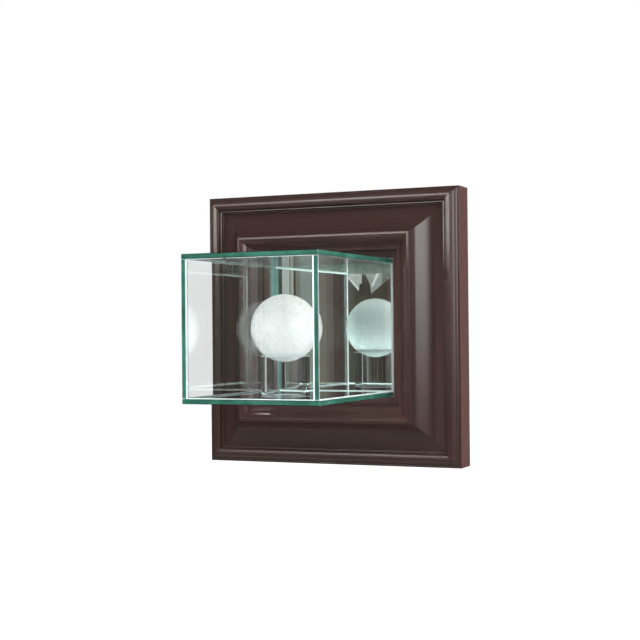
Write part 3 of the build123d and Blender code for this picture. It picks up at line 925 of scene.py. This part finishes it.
class CASE_OT_stand(BuildOperator, bpy.types.Operator):
    """Give the tube clear acrylic"""
    bl_idname = "display_case.stand"
    bl_label = "Clear stand"

    def execute(self, context):
        """Each polished rim is a flat ring: points at radius r and angle a for two radii, r cos a and r sin a about
        the tube's middle, at one height."""
        dress(("ball_stand",), clear_glass("clear_acrylic", context.scene.case_glass.acrylic, 1.49))
        outer = (STAND_HIGH.x - STAND_LOW.x) / 2 - 0.25 * MM
        middle = middle_of(STAND_LOW, STAND_HIGH)
        turn = np.linspace(0, 2 * math.pi, RIM_STEPS, endpoint=False)
        radii = np.array([outer, outer - RIM_WIDTH * MM, outer - RIM_WIDTH * MM, outer])
        thick = np.array([0, 0, 0.08, 0.08]) * MM
        points, faces = [], []
        for k, level in enumerate((STAND_LOW.z + 0.15 * MM, STAND_HIGH.z - 0.75 * MM)):
            ring = np.stack([middle[0] + radii[:, None] * np.cos(turn), middle[1] + radii[:, None] * np.sin(turn),
                             np.broadcast_to((level + thick)[:, None], (4, RIM_STEPS))], axis=-1)
            points.append(ring.reshape(-1, 3))
            faces += (np.array(grid_faces(4, RIM_STEPS, (True, True))) + 4 * RIM_STEPS * k).tolist()
        made = mesh_object("stand_rims", np.concatenate(points), faces, smooth=False)
        place_piece(made, frosted_rim(context.scene.case_glass), "stand", "acrylic")
        return {"FINISHED"}


class CASE_OT_ball(BuildOperator, bpy.types.Operator):
    """Build the dimpled ball"""
    bl_idname = "display_case.ball"
    bl_label = "Golf ball"

    def execute(self, context):
        """Radius at a point is the ball's, less depth * (1 - (d / r)^2) where d, the distance to the nearest
        dimple's centre, is under that dimple's radius r."""
        ball = context.scene.case_ball
        radius = (BALL_HIGH.x - BALL_LOW.x) / 2
        centre = middle_of(BALL_LOW, BALL_HIGH)
        points, faces = geodesic(ball.fineness)
        dimples, _ = geodesic(ball.rows)
        dimples = dimples.astype(np.float32)
        apart = dimples @ dimples.T
        np.fill_diagonal(apart, -1)
        reach = ball.spread * np.arccos(apart.max(axis=1))
        turned = points.astype(np.float32) @ dimples.T
        nearest = turned.argmax(axis=1)
        away = np.arccos(np.clip(turned.max(axis=1), -1, 1)) / reach[nearest]
        sunk = ball.depth * np.clip(1 - away ** 2, 0, None)
        made = mesh_object("ball_cover", centre + points * (radius - sunk)[:, None], faces.tolist(), smooth=True)
        place_piece(made, ball_cover(ball), "ball", "ball", "golf_ball")
        return {"FINISHED"}


class CASE_OT_studio(BuildOperator, bpy.types.Operator):
    """Set up the floor, the lamps, the surround that gloss shows, the world and the camera"""
    bl_idname = "display_case.studio"
    bl_label = "Studio"

    def execute(self, context):
        studio = context.scene.case_studio
        context.scene.view_settings.view_transform = "Standard"
        floor(studio)
        surround(studio)
        lamps()
        world(context.scene, studio)
        camera(context.scene, studio)
        return {"FINISHED"}


# ---------------------------------------------------------------- studio
STUDIO_REACH = 4.2              # radius of the sphere round the set, in metres
STUDIO_WALL = 3.9               # and how far away the cards just inside it stand
FLOOR_REACH = 6.0               # half the floor's side
# Upright strips that the mirror shows: azimuths in degrees, and colour.
STRIPS = (
    ("studio_pale", (-26.05, -25.66), (0.62, 0.65, 0.64)),
    ("studio_beige", (-25.62, -25.45), (0.55, 0.50, 0.43)),
    ("studio_shade", (-25.34, -25.09), (0.23, 0.23, 0.21)),
    ("studio_grey", (-25.09, -24.49), (0.34, 0.36, 0.34)),
    ("studio_taupe", (-24.15, -23.77), (0.24, 0.205, 0.17)),
    ("studio_tan", (-23.77, -23.41), (0.17, 0.14, 0.12)),
    ("studio_russet", (-23.41, -23.08), (0.105, 0.066, 0.060)),
    ("studio_brown", (-23.08, -22.66), (0.085, 0.066, 0.058)),
    ("studio_olive", (-22.66, -21.6), (0.088, 0.091, 0.068)),
    ("studio_umber", (-21.6, -19.0), (0.089, 0.075, 0.060)),
)
# Flat shapes that the mirror shows: distance, colour, and corners as (azimuth, height).
SHAPES = (
    ("studio_cover_left", 3.8, (0.66, 0.69, 0.65),
     ((-22.55, 0.208), (-21.86, 0.208), (-21.86, 0.166), (-22.03, 0.142), (-22.56, 0.184))),
    ("studio_hem_left", 3.78, (1.05, 1.10, 1.08),
     ((-22.56, 0.191), (-22.02, 0.1496), (-22.03, 0.1406), (-22.56, 0.1827))),
    ("studio_cover_right", 3.8, (0.47, 0.50, 0.48),
     ((-21.73, 0.2075), (-20.80, 0.215), (-20.80, 0.163), (-21.38, 0.131), (-21.44, 0.166))),
    ("studio_cover_far", 3.81, (0.26, 0.26, 0.24),
     ((-20.80, 0.215), (-20.32, 0.220), (-20.33, 0.1896), (-20.80, 0.163))),
    ("studio_hem_right", 3.78, (1.0, 1.02, 1.0),
     ((-21.36, 0.160), (-21.05, 0.206), (-20.88, 0.206), (-21.29, 0.152))),
    ("studio_post", 3.75, (0.062, 0.060, 0.050),
     ((-21.85, 0.2088), (-21.72, 0.2087), (-21.73, 0.1644), (-21.44, 0.1642), (-21.38, 0.1219), (-22.04, 0.1223),
      (-21.99, 0.1645), (-21.86, 0.1645))),
)


def ray_kinds(tree, *kinds):
    """1 for rays of any of these kinds."""
    total = light_path(tree, kinds[0])
    for kind in kinds[1:]:
        total = maths("ADD", total, light_path(tree, kind), clamp=True)
    return total


def after_gloss(tree):
    """1 on a path that gloss or the mirror has turned."""
    return maths("GREATER_THAN", light_path(tree, "Glossy Depth"), 0.5)


def from_mirror(tree):
    """1 on a path that the mirror has turned: it has also gone in and out of a pane and of the mirror's glass."""
    passed = light_path(tree, "Transmission Depth")
    return times(after_gloss(tree), maths("GREATER_THAN", passed, 3.5))


def after_diffuse(tree):
    """1 on a path that has lit a plain surface."""
    return maths("GREATER_THAN", light_path(tree, "Diffuse Depth"), 0.5)


def floor(studio):
    """A pale plain floor that adds its own white for the camera, so that only shadows show on it."""
    corners = [(x * FLOOR_REACH, y * FLOOR_REACH, -studio.floor) for x, y in ((-1, -1), (1, -1), (1, 1), (-1, 1))]
    made = mesh_object("floor", corners, [(0, 1, 2, 3)])
    paint, tree, out = blank_material("pale_floor")
    lit = node(tree, "ShaderNodeBsdfDiffuse", {0: (0.72, 0.72, 0.72, 1)}).outputs[0]
    seen = ray_kinds(tree, "Is Camera Ray", "Is Glossy Ray", "Is Transmission Ray")
    glow = node(tree, "ShaderNodeEmission", {0: (1, 1, 1, 1), 1: times(seen, 0.58)}).outputs[0]
    whole = node(tree, "ShaderNodeAddShader", {0: lit, 1: glow}).outputs[0]
    put(out, turned_to(after_gloss(tree), whole, see_through(tree)))
    made.data.materials.append(paint)
    made.visible_glossy = False


def reflected_only(made):
    """Only a ray that something glossy has turned meets this."""
    made.visible_camera = made.visible_diffuse = made.visible_shadow = made.visible_volume_scatter = False


def reflected_paint(name, build, glazed=True):
    """Emission for rays that have been reflected, see-through for the rest. build gives colour and strength. Where
    it isn't glazed, rays that have been through glass don't see it either."""
    made, tree, out = blank_material(name)
    turned = after_gloss(tree)
    if not glazed:
        passed = light_path(tree, "Transmission Depth")
        turned = times(turned, maths("LESS_THAN", passed, 0.5))
    tone, level = build(tree)
    glow = node(tree, "ShaderNodeEmission", {0: tone, 1: level}).outputs[0]
    put(out, turned_to(turned, see_through(tree), glow))
    return made


def around(azimuth, rise, radius):
    """A point on a cylinder round the case: azimuth in degrees from straight in front, towards +X."""
    turn = np.radians(azimuth)
    return np.stack([radius * np.sin(turn), -radius * np.cos(turn), rise + 0 * turn], axis=-1)


def card(name, turns, rises, away, tone, level, side_fades=(0.0, 0.0), end_fades=(0.0, 0.0), glazed=True):
    """A strip of a cylinder round the case, seen only in gloss: turns are its azimuths in degrees and rises its
    heights. Its light falls off over side_fades degrees at its sides and end_fades metres at its ends. Where it
    isn't glazed, nothing behind glass shows it."""
    steps = np.linspace(*turns, CARD_STEPS)
    grid = np.concatenate([around(steps, rise, away) for rise in rises])
    made = mesh_object(name, grid, grid_faces(2, CARD_STEPS, turned=True))

    def glow(tree):
        place = place_of(tree)
        parts = split(place)
        turn = maths("ARCTAN2", parts[0], times(parts[1], -1.0))
        strength = weighed(after_diffuse(tree), level, 2.0)
        for value, (low, high), fades, unit in ((turn, turns, side_fades, math.radians(1)),
                                                (parts[2], rises, end_fades, 1.0)):
            if fades[0]:
                strength = times(strength, between(value, low * unit, (low + fades[0]) * unit))
            if fades[1]:
                strength = times(strength, between(value, (high - fades[1]) * unit, high * unit, 1.0, 0.0))
        return rgba(tone), strength

    made.data.materials.append(reflected_paint(name, glow, glazed))
    reflected_only(made)


def flat_card(name, corners, away, tone):
    """A plain card with corners (azimuth, height) on a cylinder round the case, seen only in gloss."""
    corners = np.array(corners)
    made = mesh_object(name, around(corners[:, 0], corners[:, 1], away), [tuple(range(len(corners)))])
    made.data.materials.append(reflected_paint(name, lambda tree: (rgba(tone), 1.0)))
    reflected_only(made)


def surround(studio):
    """The unlit studio that the mirror and the lacquer show: a sphere round the set with soft upright folds, and
    cards, lamp covers and light banks standing in front of it."""
    turn, painted_glow = np.meshgrid(np.linspace(0, 2 * math.pi, 65)[:-1], np.linspace(-math.pi / 2, math.pi / 2, 33)[1:-1])
    points = STUDIO_REACH * np.stack([np.sin(turn) * np.cos(painted_glow), -np.cos(turn) * np.cos(painted_glow), np.sin(painted_glow)],
                                     axis=-1)
    pole = np.arange(turn.shape[1])
    faces = grid_faces(*turn.shape, (False, True), turned=True)
    faces += [pole[::-1].tolist(), (pole + turn.size - len(pole)).tolist()]
    shell = mesh_object("studio_shell", points.reshape(-1, 3), faces)

    def folds(tree):
        place = place_of(tree)
        parts = split(place)
        turned = maths("ARCTAN2", parts[0], times(parts[1], -1.0))
        line = node(tree, "ShaderNodeCombineXYZ", {0: turned}).outputs[0]
        fold = between(noise(line, 85.0, 2.0, 0.6), 0.35, 0.7)
        tone = tinted(fold, (0.75, 0.62, 0.55, 1), (1.25, 1.12, 1.0, 1))
        left = between(parts[0], -2.0, 1.0, 1.0, 0.35)
        behind = times(between(parts[1], 0.3, 1.5), left)
        below = between(parts[2], -2.2, -0.6, 1.0, 0.0)
        off = maths("ABSOLUTE", maths("SUBTRACT", turned, 0.42))
        beside = between(off, 0.12, 0.3, 1.0, 0.0)
        level = times_plus(behind, 0.30, times_plus(below, 0.17, studio.room))
        level = times_plus(times_plus(fold, 0.7, 0.65), times(beside, 0.06), level)
        tone = tinted(maths("MAXIMUM", maths("MAXIMUM", behind, below), beside), tone, (0.90, 1.0, 0.93, 1))
        low = times(between(parts[2], -2.8, 1.2, 7.0, 1.2), between(parts[0], -2.0, 2.5, 1.3, 0.35))
        return (tinted(after_diffuse(tree), tone, (0.80, 1.0, 0.98, 1)),
                weighed(after_diffuse(tree), level, low))

    shell.data.materials.append(reflected_paint("studio_dark", folds))
    reflected_only(shell)
    for name, turns, tone in STRIPS:
        card(name, turns, (-1.0, 0.24), STUDIO_WALL, tone, 1.0)
    for name, away, tone, corners in SHAPES:
        flat_card(name, corners, away, tone)
    card("bank_front", (-36.0, -12.0), (0.275, 0.76), 3.85, (1.0, 0.97, 0.94), 9.5, (14.0, 5.0), (0.04, 0.2))
    card("bank_right", (36.0, 94.5), (-0.24, 0.75), 1.4, (1.0, 0.985, 0.985), 5.1, (26.0, 1.0), (0.50, 0.15))
    card("bank_back", (192.0, 250.0), (-0.6, 0.9), 1.6, (1.0, 1.0, 1.0), 1.1, (16.0, 16.0), (0.3, 0.3))
    card("studio_sheen", (-12.0, 34.0), (-1.3, 0.28), STUDIO_WALL, (1.0, 0.72, 0.68), 0.42, (8.0, 14.0), glazed=False)
    for name, turns in (("bank_rear", (167.0, 194.0)), ("bank_rear_right", (116.0, 143.0))):
        card(name, turns, (-1.6, 2.2), STUDIO_WALL, (1.0, 1.0, 1.0), 0.9, (5.0, 5.0), (0.8, 0.8))
    spot = mesh_object("bank_small", [(-0.0645, -0.0365, -0.030), (-0.0645, -0.0300, -0.030),
                                      (-0.0500, -0.0300, -0.030), (-0.0500, -0.0365, -0.030)], [(0, 1, 2, 3)])

    def downward(tree):
        hidden = node(tree, "ShaderNodeNewGeometry").outputs["Backfacing"]
        return (1.0, 0.97, 0.94, 1.0), times(maths("SUBTRACT", 1.0, hidden), 8.0)

    spot.data.materials.append(reflected_paint("bank_small", downward, False))
    reflected_only(spot)


def aimed(right, up, ahead, spot):
    """The matrix that stands a lamp or camera at spot, looking ahead."""
    return Matrix([[right[k], up[k], -ahead[k], spot[k]] for k in range(3)] + [[0, 0, 0, 1]])


def lamps():
    """Soft lamps for even light: a key above the front, and one behind at the right for the frame's side. Gloss
    shows the banks instead."""
    for name, spot, size, power in (
        ("lamp_key", (0.15, -0.95, 1.05), (1.0, 0.8), 14.0),
        ("lamp_side", (1.25, 0.65, 0.25), (0.8, 1.0), 21.0),
    ):
        data = bpy.data.lights.new(name, "AREA")
        data.shape = "RECTANGLE"
        data.size, data.size_y = size
        data.energy = power
        made = linked_object(name, data)
        aim = -np.array(spot) / np.linalg.norm(spot)
        side = np.cross(aim, (0, 0, 1))
        side /= np.linalg.norm(side)
        made.matrix_world = aimed(side, np.cross(side, aim), aim, spot)
        made.visible_camera = made.visible_glossy = made.visible_transmission = False


def world(scene, studio):
    """White to camera, glossy and transmitted rays; an even grey light to the rest."""
    made = bpy.data.worlds.new("studio_world")
    made.use_nodes = True
    tree = made.node_tree
    tree.nodes.clear()
    seen = ray_kinds(tree, "Is Camera Ray", "Is Glossy Ray", "Is Transmission Ray")
    ways = split(node(tree, "ShaderNodeTexCoord").outputs["Generated"])
    level = times(between(ways[2], -0.8, 0.6, 0.38, 1.12), studio.ambient)
    level = times(level, times_plus(ways[0], 0.3, 1.0))
    even = node(tree, "ShaderNodeBackground", {0: (0.98, 0.99, 1.0, 1), 1: level}).outputs[0]
    inside = times(between(ways[2], -0.7, 0.7, 1.4, 0.72),      # lights the ball through the panes
                   between(maths("ADD", ways[0], ways[1]), 0.2, 1.2, 1.0, 0.35))
    white = node(tree, "ShaderNodeBackground", {
        0: tinted(after_diffuse(tree), (1, 1, 1, 1), (0.96, 1.0, 1.0, 1)),
        1: weighed(after_diffuse(tree), 1.0, inside)}).outputs[0]
    put(tree.nodes.new("ShaderNodeOutputWorld"), turned_to(seen, even, white))
    scene.world = made


def camera(scene, studio):
    """The photograph's viewpoint: to the right of the case, level with it, looking left and a hair up."""
    spot = (0.3637, -0.8512, -0.0029)
    yaw, pitch, roll = (math.radians(a) for a in (24.029, -0.535, -0.519))
    ahead = np.array((-math.sin(yaw) * math.cos(pitch), math.cos(yaw) * math.cos(pitch), -math.sin(pitch)))
    level = np.array((math.cos(yaw), math.sin(yaw), 0.0))
    upright = np.cross(level, ahead)
    right = math.cos(roll) * level + math.sin(roll) * upright
    up = -math.sin(roll) * level + math.cos(roll) * upright
    data = bpy.data.cameras.new("camera")
    data.lens, data.sensor_width = studio.lens, 36.0
    data.clip_start, data.clip_end = 0.01, 50.0
    scene.camera = linked_object("camera", data)
    scene.camera.matrix_world = aimed(right, up, ahead, spot)


# ---------------------------------------------------------------- add-on
OPERATORS = (
    CASE_OT_studio, CASE_OT_rails, CASE_OT_panes, CASE_OT_pane_edges, CASE_OT_pane_joints, CASE_OT_bond,
    CASE_OT_mirror, CASE_OT_board, CASE_OT_brass, CASE_OT_steel, CASE_OT_catches, CASE_OT_bumpers, CASE_OT_stand,
    CASE_OT_ball,
)


class CASE_PT_display(bpy.types.Panel):
    """Settings and build steps of the display case"""
    bl_label = "Display case"
    bl_idname = "CASE_PT_display"
    bl_space_type = "VIEW_3D"
    bl_region_type = "UI"
    bl_category = "Display case"

    def draw(self, context):
        for key, kind in SETTINGS:
            box = self.layout.box()
            for name in kind.__annotations__:
                box.prop(getattr(context.scene, key), name)
        for operator in OPERATORS:
            self.layout.operator(operator.bl_idname)


def register():
    for kind in (*(kind for _, kind in SETTINGS), *OPERATORS, CASE_PT_display):
        bpy.utils.register_class(kind)
    for key, kind in SETTINGS:
        setattr(bpy.types.Scene, key, PointerProperty(type=kind))


def unregister():
    for key, _ in SETTINGS:
        delattr(bpy.types.Scene, key)
    for kind in (CASE_PT_display, *reversed(OPERATORS), *(kind for _, kind in SETTINGS)):
        bpy.utils.unregister_class(kind)


def main():
    register()
    for operator in OPERATORS:
        getattr(bpy.ops.display_case, operator.bl_idname.split(".")[1])()


if __name__ == "__main__":
    main()
